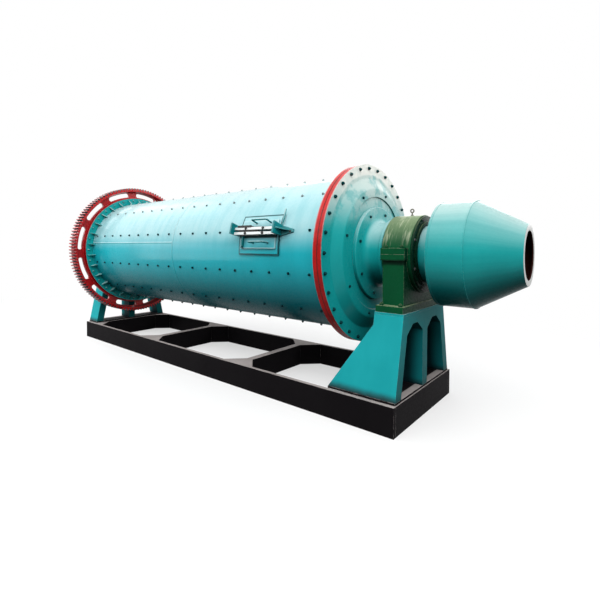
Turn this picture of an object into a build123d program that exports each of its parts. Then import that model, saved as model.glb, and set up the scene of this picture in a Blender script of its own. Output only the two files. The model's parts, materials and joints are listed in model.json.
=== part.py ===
from build123d import *
from math import acos, cos, degrees, pi, radians, sin, tan
import os

# Ball mill on a fixed base. Millimetres, +X along the mill axis to the feed end, +Z up.
# The floor is z = 0 and the vertical plane through the mill axis is y = 0.
# An angle around the mill starts on the near side (-Y) and rises towards the top.

# Drum
axis_height = 1495.0
shell_mid_x = -435.0
shell_length = 4606.0
shell_radius = 785.0
shell_wall = 18.0
flange_height = 107.0
feed_flange_thickness = 45.0
gear_flange_thickness = 56.0

# Drum ends, with depths measured outward from the face that each head is bolted to
head_flange_thickness = 45.0
head_step_inset = 30.0
head_step_width = 110.0
head_ring_width = 82.0
head_groove_depth = 14.0
head_wall = 36.0
head_foot_round = 26.0
head_shoulder_round = 40.0
head_groove_round = 5.0
feed_head_step = 63.0
gear_head_step = 24.0

# Trunnions, whose discs are seated inside the grooved ring of each head
trunnion_disc_inset = 100.0
trunnion_disc_thickness = 36.0
trunnion_disc_round = 8.0
journal_radius = 290.0
neck_rise = 12.0
neck_round = 55.0
collar_rise = 48.0
collar_round = 8.0
trunnion_wall = 42.0
passage_radius = 220.0
collar_width = 34.0
collar_gap = 12.0
feed_trunnion_overrun = 164.0
gear_trunnion_overrun = 50.0

# Main bearings
feed_bearing_reach = 470.5
gear_bearing_reach = 312.0
bearing_length = 273.0
bearing_clearance = 0.05
bearing_wall = 72.0
bearing_end_round = 8.0
bearing_body_length = 200.0
bearing_body_overhang = 38.0
split_lug_length = 226.0
split_lug_overhang = 24.0
split_lug_height = 55.0
bearing_sole_thickness = 58.0
bearing_sole_length = 255.0
end_ring_inset = 10.0
end_ring_gap = 10.0
end_ring_thickness = 16.0
end_ring_lip_width = 30.0
end_ring_lip_thickness = 14.0
end_ring_round = 4.0
eyebolt_collar_radius = 13.0
eyebolt_collar_height = 8.0
eyebolt_shank_height = 22.0
eyebolt_ring_radius = 15.5
eyebolt_wire_radius = 6.0

# Feeder on the feed trunnion and spout on the discharge trunnion
feeder_radius = 462.0
feeder_wall = 8.0
feeder_back_thickness = 15.0
feeder_drum_length = 277.0
feeder_cone_length = 379.0
feeder_mouth_radius = 248.0
feeder_lip_width = 47.0
feeder_lip_thickness = 12.0
spout_flange_radius = 300.0
spout_flange_thickness = 20.0
spout_radius = 240.0
spout_length = 73.5

# Ring gear
gear_module = 16.0
gear_rise = 164.0
gear_pressure_angle = 20.0
gear_dedendum = 20.0
gear_width = 200.0
gear_set_forward = 59.0
gear_rim_thickness = 20.0
gear_rim_taper = 22.0
gear_web_thickness = 40.0
gear_hub_overhang = 20.0
gear_hub_gap = 5.0
gear_slot_count = 12
gear_slot_first_angle = 11.5
gear_slot_hub_margin = 8.0
gear_slot_rim_margin = 4.0
gear_slot_span = 17.8

# Gussets between the gear flange and the shell
gusset_count = 30
gusset_first_angle = 6.2
gusset_length = 95.0
gusset_height = 80.0
gusset_thickness = 12.0
gusset_nose = 14.0

# Base
base_half_width = 674.0
base_height = 256.0
base_lip = 10.0
side_beam_thickness = 40.0
end_beam_length = 315.0
cross_beam_length = 90.0
cross_beam_from_gear_end = 1941.5
cross_beam_from_feed_end = 1895.0
corner_web = 190.0

# Stands
stand_drop = 507.0
stand_top_half_width = 475.0
stand_foot_inset = 44.0
stand_plate = 20.0
stand_toe = 392.0
stand_kink_drop = 115.0
stand_leg_thickness = 110.0
stand_rib_half_width = 55.0
stand_arch_top_drop = 103.0
stand_arch_top_width = 105.0
stand_arch_shoulder_drop = 190.0
stand_arch_corner_round = 28.0

# Manhole on the near side of the shell
manhole_from_feed_face = 802.0
manhole_angle = 13.5
manhole_opening_length = 400.0
manhole_opening_width = 247.0
manhole_frame_length = 556.0
manhole_frame_width = 411.0
manhole_frame_thickness = 14.0
manhole_door_length = 492.0
manhole_door_width = 286.0
manhole_door_thickness = 16.0
door_rib_from_end = 48.0
door_rib_below_middle = 59.0
door_rib_length = 160.0
door_rib_thickness = 16.0
door_rib_to_bars = 2.0
clamp_gear_side_gap = 9.0
clamp_feed_side_gap = 4.0
clamp_lug_thickness = 20.0
clamp_lug_height = 145.0
clamp_lug_width = 100.0
clamp_above_middle = 33.0
clamp_foot_length_gear_side = 60.0
clamp_foot_length_feed_side = 136.0
clamp_foot_thickness = 14.0
clamp_foot_tip_width = 30.0
clamp_gusset_thickness = 12.0
clamp_gusset_nose = 20.0
clamp_bar_drop = 17.0
clamp_bar_step = 45.0
clamp_bar_width = 28.0
clamp_bar_height = 34.0
clamp_bar_lift = 60.0
clamp_screw_radius = 12.0
clamp_screw_spacing = 240.0
clamp_lever_radius = 5.0
clamp_lever_length = 170.0
clamp_lever_lift = 20.0
handle_length = 200.0
handle_reach = 82.0
handle_wire_radius = 9.0
handle_bend = 16.0
handle_set_to_feed = 50.0
handle_above_middle = 114.0
handle_below_middle = 87.0

# Places that follow from the sizes above
mill_axis = Axis((0, 0, axis_height), (1, 0, 0))
shell_inner_radius = shell_radius - shell_wall
flange_radius = shell_radius + flange_height
feed_face_x = shell_mid_x + shell_length / 2
gear_face_x = shell_mid_x - shell_length / 2
gear_flange_front_x = gear_face_x + gear_flange_thickness
gear_front_x = gear_face_x + gear_set_forward
gear_back_x = gear_front_x - gear_width
gear_web_back_x = (gear_front_x + gear_back_x - gear_web_thickness) / 2
gear_web_front_x = gear_web_back_x + gear_web_thickness
feed_bearing_x = feed_face_x + feed_bearing_reach
gear_bearing_x = gear_face_x - gear_bearing_reach
base_feed_end_x = feed_bearing_x + bearing_length / 2 + base_lip
base_gear_end_x = gear_bearing_x - bearing_length / 2 - base_lip
base_inner_half_width = base_half_width - side_beam_thickness
bearing_bore_radius = journal_radius + bearing_clearance
stand_top_z = axis_height - stand_drop
stand_foot_half_width = base_half_width - stand_foot_inset
head_step_radius = shell_radius - head_step_inset
head_ring_radius = head_step_radius - head_step_width
head_groove_radius = head_ring_radius - head_ring_width
trunnion_disc_radius = head_groove_radius - trunnion_disc_inset
manhole_x = feed_face_x - manhole_from_feed_face

os.makedirs("parts", exist_ok=True)


def keep(name, piece):
    """Label a finished piece and write it as one STEP file."""
    piece.part.label = name
    export_step(piece.part, f"parts/{name}.step")


def along(angle):
    """Sketch plane through the mill axis: sketch x is world X, sketch y points outward."""
    normal = (0, -sin(radians(angle)), -cos(radians(angle)))
    return Plane(origin=(0, 0, axis_height), x_dir=(1, 0, 0), z_dir=normal)


def across(x):
    """Sketch plane across the mill, centred on its axis: sketch x is world Y, y is world Z."""
    return Plane(origin=(x, 0, axis_height), x_dir=(0, 1, 0), z_dir=(1, 0, 0))


def around(radius, angle):
    """Sketch point on a plane across the mill, at an angle around the mill."""
    return (-radius * cos(radians(angle)), radius * sin(radians(angle)))


def facing(x, radius, angle):
    """Plane that faces outward from the mill: sketch x is world X, sketch y points down."""
    outward = (0, -cos(radians(angle)), sin(radians(angle)))
    centre = (x, radius * outward[1], axis_height + radius * outward[2])
    return Plane(origin=centre, x_dir=(1, 0, 0), z_dir=outward)


def turned(*corners, rounded=()):
    """A piece turned about the mill axis from its corners, each one (x, radius).

    Each entry of rounded is a corner with the radius that it is rounded to."""
    with BuildPart() as piece:
        with BuildSketch(along(90)) as profile:
            with BuildLine():
                Polyline(*corners, close=True)
            make_face()
            for corner, radius in rounded:
                fillet(profile.vertices().sort_by_distance(corner)[0], radius)
        revolve(axis=mill_axis)
    return piece


def shell_angle(width):
    """The angle in degrees that a width takes up on the outside of the shell."""
    return degrees(width / shell_radius)


def bent_plate(mid_x, length, mid_angle, width, inner_radius, thickness):
    """A plate bent to the shell: a rectangle turned through part of a circle."""
    span = shell_angle(width)
    with BuildPart() as plate:
        with BuildSketch(along(mid_angle + span / 2)):
            with Locations((mid_x, inner_radius + thickness / 2)):
                Rectangle(length, thickness)
        revolve(axis=mill_axis, revolution_arc=span)
    return plate


# Shell, with the manhole cut through it
manhole_opening = bent_plate(
    manhole_x,
    manhole_opening_length,
    manhole_angle,
    manhole_opening_width,
    shell_inner_radius - shell_wall,
    2 * shell_wall + 2 * manhole_frame_thickness,
)
with BuildPart() as shell:
    with BuildSketch(along(90)):
        with Locations((shell_mid_x, shell_radius - shell_wall / 2)):
            Rectangle(shell_length, shell_wall)
    revolve(axis=mill_axis)
    add(manhole_opening.part, mode=Mode.SUBTRACT)
keep("shell", shell)


# End flanges of the shell
def shell_flange(face_x, back_x):
    """A flat ring round one end of the shell."""
    return turned(
        (face_x, shell_radius),
        (face_x, flange_radius),
        (back_x, flange_radius),
        (back_x, shell_radius),
    )


shell_flange_feed = shell_flange(feed_face_x, feed_face_x - feed_flange_thickness)
keep("shell_flange_feed", shell_flange_feed)
shell_flange_gear = shell_flange(gear_face_x, gear_flange_front_x)
keep("shell_flange_gear", shell_flange_gear)

# Gussets that brace the gear flange against the shell
with BuildPart() as gusset:
    with BuildSketch(Plane.XZ):
        with BuildLine():
            Polyline(
                (shell_radius, 0),
                (shell_radius, gusset_length),
                (shell_radius + gusset_nose, gusset_length),
                (shell_radius + gusset_height, gusset_nose),
                (shell_radius + gusset_height, 0),
                close=True,
            )
        make_face()
    extrude(amount=gusset_thickness / 2, both=True)
with BuildPart(across(gear_flange_front_x)) as gear_flange_gussets:
    with PolarLocations(0, gusset_count, start_angle=180 - gusset_first_angle):
        add(gusset.part)
keep("gear_flange_gussets", gear_flange_gussets)

# Ring gear: involute teeth on a rim, with a slotted web and a hub ring behind the gear flange
gear_teeth = round(2 * (flange_radius + gear_rise) / gear_module)
pitch_radius = gear_module * gear_teeth / 2
tip_radius = pitch_radius + gear_module
root_radius = pitch_radius - gear_dedendum
base_circle_radius = pitch_radius * cos(radians(gear_pressure_angle))
tooth_root_overlap = gear_module / 4
gear_rim_radius = root_radius - gear_rim_thickness
gear_rim_bore = gear_rim_radius - gear_rim_taper
gear_hub_radius = flange_radius + gear_hub_overhang
gear_hub_bore = shell_radius + gear_hub_gap
gear_slot_inner_radius = gear_hub_radius + gear_slot_hub_margin
gear_slot_outer_radius = gear_rim_bore - gear_slot_rim_margin


def involute(pressure_angle):
    """Involute function of a pressure angle in radians."""
    return tan(pressure_angle) - pressure_angle


def flank(radius, side):
    """Sketch point on a tooth flank at a radius, for a tooth that points along sketch x."""
    at_pitch = involute(radians(gear_pressure_angle))
    at_radius = involute(acos(base_circle_radius / radius))
    half_angle = pi / 2 / gear_teeth + at_pitch - at_radius
    return (radius * cos(half_angle), side * radius * sin(half_angle))


with BuildSketch() as tooth:
    with BuildLine():
        ThreePointArc(flank(root_radius, -1), flank(pitch_radius, -1), flank(tip_radius, -1))
        Line(flank(tip_radius, -1), flank(tip_radius, 1))
        ThreePointArc(flank(tip_radius, 1), flank(pitch_radius, 1), flank(root_radius, 1))
        foot_x, foot_y = flank(root_radius, 1)
        Polyline(
            (foot_x, foot_y),
            (foot_x - tooth_root_overlap, foot_y),
            (foot_x - tooth_root_overlap, -foot_y),
            (foot_x, -foot_y),
        )
    make_face()

slot_arc = CenterArc(
    (0, 0),
    (gear_slot_inner_radius + gear_slot_outer_radius) / 2,
    -gear_slot_span / 2,
    gear_slot_span,
)
gear_web_blank = turned(
    (gear_front_x, gear_rim_radius),
    (gear_web_front_x, gear_rim_bore),
    (gear_web_front_x, gear_hub_radius),
    (gear_face_x, gear_hub_radius),
    (gear_face_x, gear_hub_bore),
    (gear_web_back_x, gear_hub_bore),
    (gear_web_back_x, gear_rim_bore),
    (gear_back_x, gear_rim_radius),
)
with BuildPart() as gear_web:
    add(gear_web_blank.part)
    with BuildSketch(across(gear_web_back_x)):
        with PolarLocations(0, gear_slot_count, start_angle=180 - gear_slot_first_angle):
            SlotArc(arc=slot_arc, height=gear_slot_outer_radius - gear_slot_inner_radius)
    extrude(amount=gear_web_thickness, mode=Mode.SUBTRACT)
with BuildPart() as ring_gear:
    with BuildSketch(across(gear_back_x)):
        Circle(root_radius)
        with PolarLocations(0, gear_teeth):
            add(tooth.sketch)
        Circle(gear_rim_radius, mode=Mode.SUBTRACT)
    extrude(amount=gear_width)
    add(gear_web.part)
keep("ring_gear", ring_gear)


# Heads that close the drum, one bolted to the feed flange and one behind the gear's hub ring
def head(face_x, outward, step):
    """A dished end: flange, sloped step, bolted ring and a grooved seat for the trunnion."""
    flange_x = face_x + outward * head_flange_thickness
    ring_x = flange_x + outward * step
    seat_x = ring_x - outward * head_groove_depth
    inner_x = seat_x - outward * head_wall
    return turned(
        (face_x, flange_radius),
        (flange_x, flange_radius),
        (flange_x, head_step_radius),
        (ring_x, head_ring_radius),
        (ring_x, head_groove_radius),
        (seat_x, head_groove_radius),
        (seat_x, passage_radius),
        (inner_x, passage_radius),
        (inner_x, head_ring_radius - head_wall),
        (face_x, head_step_radius - head_wall),
        rounded=(
            ((flange_x, head_step_radius), head_foot_round),
            ((ring_x, head_ring_radius), head_shoulder_round),
            ((ring_x, head_groove_radius), head_groove_round),
        ),
    )


head_feed = head(feed_face_x, 1, feed_head_step)
keep("head_feed", head_feed)
head_gear = head(gear_web_back_x, -1, gear_head_step)
keep("head_gear", head_gear)
head_seat_depth = head_flange_thickness - head_groove_depth
feed_seat_x = feed_face_x + head_seat_depth + feed_head_step
gear_seat_x = gear_web_back_x - head_seat_depth - gear_head_step

# Trunnions that carry the drum in its bearings
neck_radius = journal_radius + neck_rise
collar_radius = journal_radius + collar_rise
trunnion_end_radius = passage_radius + trunnion_wall
disc_land = trunnion_disc_radius - neck_radius
feed_disc_x = feed_seat_x + trunnion_disc_thickness
feed_journal_x = feed_bearing_x - bearing_length / 2 - collar_gap
feed_journal_end_x = feed_bearing_x + bearing_length / 2
feed_trunnion_end_x = feed_journal_end_x + feed_trunnion_overrun
trunnion_feed = turned(
    (feed_seat_x, passage_radius),
    (feed_seat_x, trunnion_disc_radius),
    (feed_disc_x, trunnion_disc_radius),
    (feed_disc_x, neck_radius),
    (feed_journal_x - collar_width, neck_radius),
    (feed_journal_x - collar_width, collar_radius),
    (feed_journal_x, collar_radius),
    (feed_journal_x, journal_radius),
    (feed_journal_end_x, journal_radius),
    (feed_journal_end_x, trunnion_end_radius),
    (feed_trunnion_end_x, trunnion_end_radius),
    (feed_trunnion_end_x, passage_radius),
    rounded=(
        ((feed_disc_x, trunnion_disc_radius), trunnion_disc_round),
        ((feed_disc_x, neck_radius), min(neck_round, disc_land / 2)),
        ((feed_journal_x - collar_width, collar_radius), collar_round),
        ((feed_journal_x, collar_radius), collar_round),
    ),
)
keep("trunnion_feed", trunnion_feed)
gear_journal_x = gear_bearing_x + bearing_length / 2 + collar_gap
gear_journal_end_x = gear_bearing_x - bearing_length / 2
gear_trunnion_end_x = gear_journal_end_x - gear_trunnion_overrun
trunnion_gear = turned(
    (gear_seat_x, passage_radius),
    (gear_seat_x, trunnion_disc_radius),
    (gear_journal_x, trunnion_disc_radius),
    (gear_journal_x, journal_radius),
    (gear_journal_end_x, journal_radius),
    (gear_journal_end_x, trunnion_end_radius),
    (gear_trunnion_end_x, trunnion_end_radius),
    (gear_trunnion_end_x, passage_radius),
)
keep("trunnion_gear", trunnion_gear)

# Feeder: a back plate, a drum and a cone that narrows to the open mouth, with a lip turned in
feeder_back_x = feed_trunnion_end_x + feeder_back_thickness
feeder_drum_end_x = feeder_back_x + feeder_drum_length
feeder_mouth_x = feeder_drum_end_x + feeder_cone_length
feeder_back_plate = turned(
    (feed_trunnion_end_x, passage_radius),
    (feed_trunnion_end_x, feeder_radius),
    (feeder_back_x, feeder_radius),
    (feeder_back_x, passage_radius),
)
keep("feeder_back_plate", feeder_back_plate)
feeder_drum = turned(
    (feeder_back_x, feeder_radius - feeder_wall),
    (feeder_back_x, feeder_radius),
    (feeder_drum_end_x, feeder_radius),
    (feeder_drum_end_x, feeder_radius - feeder_wall),
)
keep("feeder_drum", feeder_drum)
feeder_lip_x = feeder_mouth_x - feeder_lip_thickness
feeder_cone_slope = (feeder_radius - feeder_mouth_radius) / feeder_cone_length
feeder_lip_root = feeder_mouth_radius - feeder_wall + feeder_cone_slope * feeder_lip_thickness
feeder_cone = turned(
    (feeder_drum_end_x, feeder_radius - feeder_wall),
    (feeder_drum_end_x, feeder_radius),
    (feeder_mouth_x, feeder_mouth_radius),
    (feeder_mouth_x, feeder_mouth_radius - feeder_lip_width),
    (feeder_lip_x, feeder_mouth_radius - feeder_lip_width),
    (feeder_lip_x, feeder_lip_root),
)
keep("feeder_cone", feeder_cone)

# Discharge spout: a flanged sleeve on the end of the gear-side trunnion
spout_end_x = gear_trunnion_end_x - spout_length
discharge_spout = turned(
    (gear_trunnion_end_x, passage_radius),
    (gear_trunnion_end_x, spout_flange_radius),
    (gear_trunnion_end_x - spout_flange_thickness, spout_flange_radius),
    (gear_trunnion_end_x - spout_flange_thickness, spout_radius),
    (spout_end_x, spout_radius),
    (spout_end_x, passage_radius),
)
keep("discharge_spout", discharge_spout)

# Manhole: a frame welded round the opening, a door on it and two clamp bars between lugs
frame_outer_radius = shell_radius + manhole_frame_thickness
door_outer_radius = frame_outer_radius + manhole_door_thickness
manhole_frame_blank = bent_plate(
    manhole_x,
    manhole_frame_length,
    manhole_angle,
    manhole_frame_width,
    shell_radius,
    manhole_frame_thickness,
)
with BuildPart() as manhole_frame:
    add(manhole_frame_blank.part)
    add(manhole_opening.part, mode=Mode.SUBTRACT)
keep("manhole_frame", manhole_frame)
manhole_door_blank = bent_plate(
    manhole_x,
    manhole_door_length,
    manhole_angle,
    manhole_door_width,
    frame_outer_radius,
    manhole_door_thickness,
)
door_rib = bent_plate(
    manhole_x - manhole_door_length / 2 + door_rib_from_end,
    door_rib_thickness,
    manhole_angle - shell_angle(door_rib_below_middle),
    door_rib_length,
    frame_outer_radius,
    clamp_bar_lift - door_rib_to_bars - manhole_frame_thickness,
)
with BuildPart() as manhole_door:
    add(manhole_door_blank.part)
    add(door_rib.part)
keep("manhole_door", manhole_door)


clamp_angle = manhole_angle + shell_angle(clamp_above_middle)


def clamp_lug(near_x, outward, foot_length):
    """An upright plate beside the manhole, with a foot that narrows to a tip and a gusset on it."""
    far_x = near_x + outward * clamp_lug_thickness
    tip_x = far_x + outward * foot_length
    low_angle = clamp_angle - shell_angle(clamp_lug_width) / 2
    high_angle = clamp_angle + shell_angle(clamp_lug_width) / 2
    top_radius = shell_radius + clamp_lug_height
    foot_top_radius = shell_radius + clamp_foot_thickness
    sunk_radius = shell_radius - shell_wall
    with BuildPart() as lug:
        with BuildSketch(across(near_x)):
            with BuildLine():
                Polyline(
                    around(sunk_radius, low_angle),
                    around(top_radius, low_angle),
                    around(top_radius, high_angle),
                    around(sunk_radius, high_angle),
                    close=True,
                )
            make_face()
        extrude(amount=outward * clamp_lug_thickness)
        with BuildSketch(facing(0, sunk_radius, clamp_angle)):
            with BuildLine():
                Polyline(
                    (near_x, -clamp_lug_width / 2),
                    (far_x, -clamp_lug_width / 2),
                    (tip_x, -clamp_foot_tip_width / 2),
                    (tip_x, clamp_foot_tip_width / 2),
                    (far_x, clamp_lug_width / 2),
                    (near_x, clamp_lug_width / 2),
                    close=True,
                )
            make_face()
        extrude(amount=foot_top_radius - sunk_radius)
        with BuildSketch(along(clamp_angle)):
            with BuildLine():
                Polyline(
                    (near_x, sunk_radius),
                    (near_x, top_radius - clamp_gusset_nose),
                    (far_x, top_radius - clamp_gusset_nose),
                    (tip_x - outward * clamp_gusset_nose, foot_top_radius),
                    (tip_x - outward * clamp_gusset_nose, sunk_radius),
                    close=True,
                )
            make_face()
        extrude(amount=clamp_gusset_thickness / 2, both=True)
        with BuildSketch(across(near_x)):
            Circle(shell_radius)
        extrude(amount=outward * (clamp_lug_thickness + foot_length), mode=Mode.SUBTRACT)
    return lug


clamp_start_x = manhole_x - manhole_frame_length / 2 - clamp_gear_side_gap
clamp_end_x = manhole_x + manhole_frame_length / 2 + clamp_feed_side_gap
clamp_mid_x = (clamp_start_x + clamp_end_x) / 2
clamp_lug_gear_side = clamp_lug(clamp_start_x, -1, clamp_foot_length_gear_side)
keep("clamp_lug_gear_side", clamp_lug_gear_side)
clamp_lug_feed_side = clamp_lug(clamp_end_x, 1, clamp_foot_length_feed_side)
keep("clamp_lug_feed_side", clamp_lug_feed_side)

clamp_bar_radius = shell_radius + clamp_bar_lift
clamp_bar_angle = clamp_angle - shell_angle(clamp_bar_drop)
for place, side in (("upper", 1), ("lower", -1)):
    bar_angle = clamp_bar_angle + side * shell_angle(clamp_bar_step) / 2
    with BuildPart() as clamp_bar:
        with BuildSketch(along(bar_angle)):
            with Locations((clamp_mid_x, clamp_bar_radius + clamp_bar_height / 2)):
                Rectangle(clamp_end_x - clamp_start_x, clamp_bar_height)
        extrude(amount=clamp_bar_width / 2, both=True)
    keep(f"clamp_bar_{place}", clamp_bar)

    with BuildPart() as clamp_screws:
        with BuildSketch(facing(manhole_x, door_outer_radius, bar_angle)):
            with GridLocations(clamp_screw_spacing, 0, 2, 1):
                Circle(clamp_screw_radius)
        extrude(amount=clamp_bar_radius - door_outer_radius)
    keep(f"clamp_screws_{place}", clamp_screws)

# Lever: a thin rod that stands on the upper edge of the feed-side lug
lever_angle = clamp_angle + shell_angle(clamp_lug_width) / 2
lever_foot_y, lever_foot_z = around(shell_radius + clamp_lever_lift, lever_angle)
lever_plane = Plane(
    origin=(clamp_end_x + clamp_lug_thickness / 2, lever_foot_y, axis_height + lever_foot_z),
    x_dir=(1, 0, 0),
    z_dir=(0, sin(radians(lever_angle)), cos(radians(lever_angle))),
)
with BuildPart() as clamp_lever:
    with BuildSketch(lever_plane):
        Circle(clamp_lever_radius)
    extrude(amount=clamp_lever_length)
keep("clamp_lever", clamp_lever)


def door_handle(angle):
    """A round bar bent to a bow, with both its feet on the door."""
    start_x = manhole_x + handle_set_to_feed - handle_length / 2
    end_x = start_x + handle_length
    with BuildPart() as handle:
        with BuildLine(along(angle)) as bow:
            FilletPolyline(
                (start_x, door_outer_radius),
                (start_x, door_outer_radius + handle_reach),
                (end_x, door_outer_radius + handle_reach),
                (end_x, door_outer_radius),
                radius=handle_bend,
            )
        with BuildSketch(Plane(origin=bow.line @ 0, z_dir=bow.line % 0)):
            Circle(handle_wire_radius)
        sweep(path=bow.line)
    return handle


door_handle_upper = door_handle(manhole_angle + shell_angle(handle_above_middle))
keep("door_handle_upper", door_handle_upper)
door_handle_lower = door_handle(manhole_angle - shell_angle(handle_below_middle))
keep("door_handle_lower", door_handle_lower)

# Base: two side beams, two end beams and two cross beams with webs across the inside corners
base_mid_x = (base_feed_end_x + base_gear_end_x) / 2
base_length = base_feed_end_x - base_gear_end_x
for place, side in (("near", -1), ("far", 1)):
    with BuildPart() as side_beam:
        with BuildSketch(Plane.XY):
            with Locations((base_mid_x, side * (base_half_width - side_beam_thickness / 2))):
                Rectangle(base_length, side_beam_thickness)
        extrude(amount=base_height)
    keep(f"base_side_beam_{place}", side_beam)


def base_crosspiece(start_x, end_x, webs_at_start, webs_at_end):
    """A beam between the side beams, widened by a web at each inside corner."""
    start_web = corner_web if webs_at_start else 0
    end_web = corner_web if webs_at_end else 0
    wide = base_inner_half_width
    narrow = wide - corner_web
    with BuildPart() as beam:
        with BuildSketch(Plane.XY):
            with BuildLine():
                start_side = [(start_x - start_web, -wide), (start_x - start_web, wide)]
                end_side = [(end_x + end_web, wide), (end_x + end_web, -wide)]
                if webs_at_start:
                    start_side[1:1] = [(start_x, -narrow), (start_x, narrow)]
                if webs_at_end:
                    end_side[1:1] = [(end_x, narrow), (end_x, -narrow)]
                Polyline(*start_side, *end_side, close=True)
            make_face()
        extrude(amount=base_height)
    return beam


base_end_beam_gear = base_crosspiece(
    base_gear_end_x, base_gear_end_x + end_beam_length, False, True
)
keep("base_end_beam_gear", base_end_beam_gear)
base_end_beam_feed = base_crosspiece(
    base_feed_end_x - end_beam_length, base_feed_end_x, True, False
)
keep("base_end_beam_feed", base_end_beam_feed)
for place, mid_x in (
    ("gear", base_gear_end_x + cross_beam_from_gear_end),
    ("feed", base_feed_end_x - cross_beam_from_feed_end),
):
    cross_beam = base_crosspiece(
        mid_x - cross_beam_length / 2, mid_x + cross_beam_length / 2, True, True
    )
    keep(f"base_cross_beam_{place}", cross_beam)


# Stands: a tapered body with two arches through it, between a sole plate and a top plate.
# The arches have flat tops and slanted shoulders.
def stand_half_width(z):
    """Half the width of a stand at a height, on its sloping sides."""
    slope = (stand_foot_half_width - stand_top_half_width) / (stand_top_z - base_height)
    return stand_top_half_width + slope * (stand_top_z - z)


def stand_pieces(mid_x, outward, toe):
    """The sole plate, body and top plate of one stand, whose toe reaches under the drum."""
    outer_x = mid_x + outward * bearing_length / 2
    inner_x = mid_x - outward * bearing_length / 2
    toe_x = inner_x - outward * toe
    low_z = base_height + stand_plate
    high_z = stand_top_z - stand_plate
    kink_z = stand_top_z - stand_kink_drop
    arch_top_z = stand_top_z - stand_arch_top_drop
    shoulder_z = stand_top_z - stand_arch_shoulder_drop
    with BuildPart() as sole:
        with BuildSketch(Plane.XY.offset(base_height)):
            with Locations(((outer_x + toe_x) / 2, 0)):
                Rectangle(abs(outer_x - toe_x), 2 * stand_half_width(base_height))
        extrude(amount=stand_plate)
    with BuildPart() as top:
        with BuildSketch(Plane.XY.offset(high_z)):
            with Locations((mid_x, 0)):
                Rectangle(bearing_length, 2 * stand_half_width(high_z))
        extrude(amount=stand_plate)
    with BuildPart() as body:
        with BuildSketch(Plane.XZ.offset(-stand_half_width(base_height))):
            with BuildLine():
                Polyline(
                    (outer_x, low_z),
                    (toe_x, low_z),
                    (inner_x, kink_z),
                    (inner_x, high_z),
                    (outer_x, high_z),
                    close=True,
                )
            make_face()
        extrude(amount=2 * stand_half_width(base_height))
        with BuildSketch(Plane.YZ.offset(min(outer_x, toe_x))):
            with BuildLine():
                Polyline(
                    (-stand_half_width(low_z), low_z),
                    (stand_half_width(low_z), low_z),
                    (stand_half_width(high_z), high_z),
                    (-stand_half_width(high_z), high_z),
                    close=True,
                )
            make_face()
            for side in (-1, 1):
                rib_y = side * stand_rib_half_width
                leg_y = side * (stand_half_width(shoulder_z) - stand_leg_thickness)
                foot_y = side * (stand_half_width(low_z) - stand_leg_thickness)
                top_mid_y = (rib_y + leg_y) / 2
                top_reach = side * stand_arch_top_width / 2
                with BuildLine():
                    FilletPolyline(
                        (rib_y, low_z),
                        (rib_y, shoulder_z),
                        (top_mid_y - top_reach, arch_top_z),
                        (top_mid_y + top_reach, arch_top_z),
                        (leg_y, shoulder_z),
                        (foot_y, low_z),
                        radius=stand_arch_corner_round,
                    )
                    Line((foot_y, low_z), (rib_y, low_z))
                make_face(mode=Mode.SUBTRACT)
        extrude(amount=abs(outer_x - toe_x), mode=Mode.INTERSECT)
    return sole, body, top


# Bearings: a sole and a lower half on the stand, a cap with its lifting eye and an end ring
def barrel_ends(half):
    """The outer round edges at both ends of one half of a bearing."""
    arcs = half.edges().filter_by(GeomType.CIRCLE)
    outer_arcs = arcs.filter_by(lambda arc: arc.radius > bearing_bore_radius)
    return outer_arcs.group_by(Axis.X)[0] + outer_arcs.group_by(Axis.X)[-1]


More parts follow.
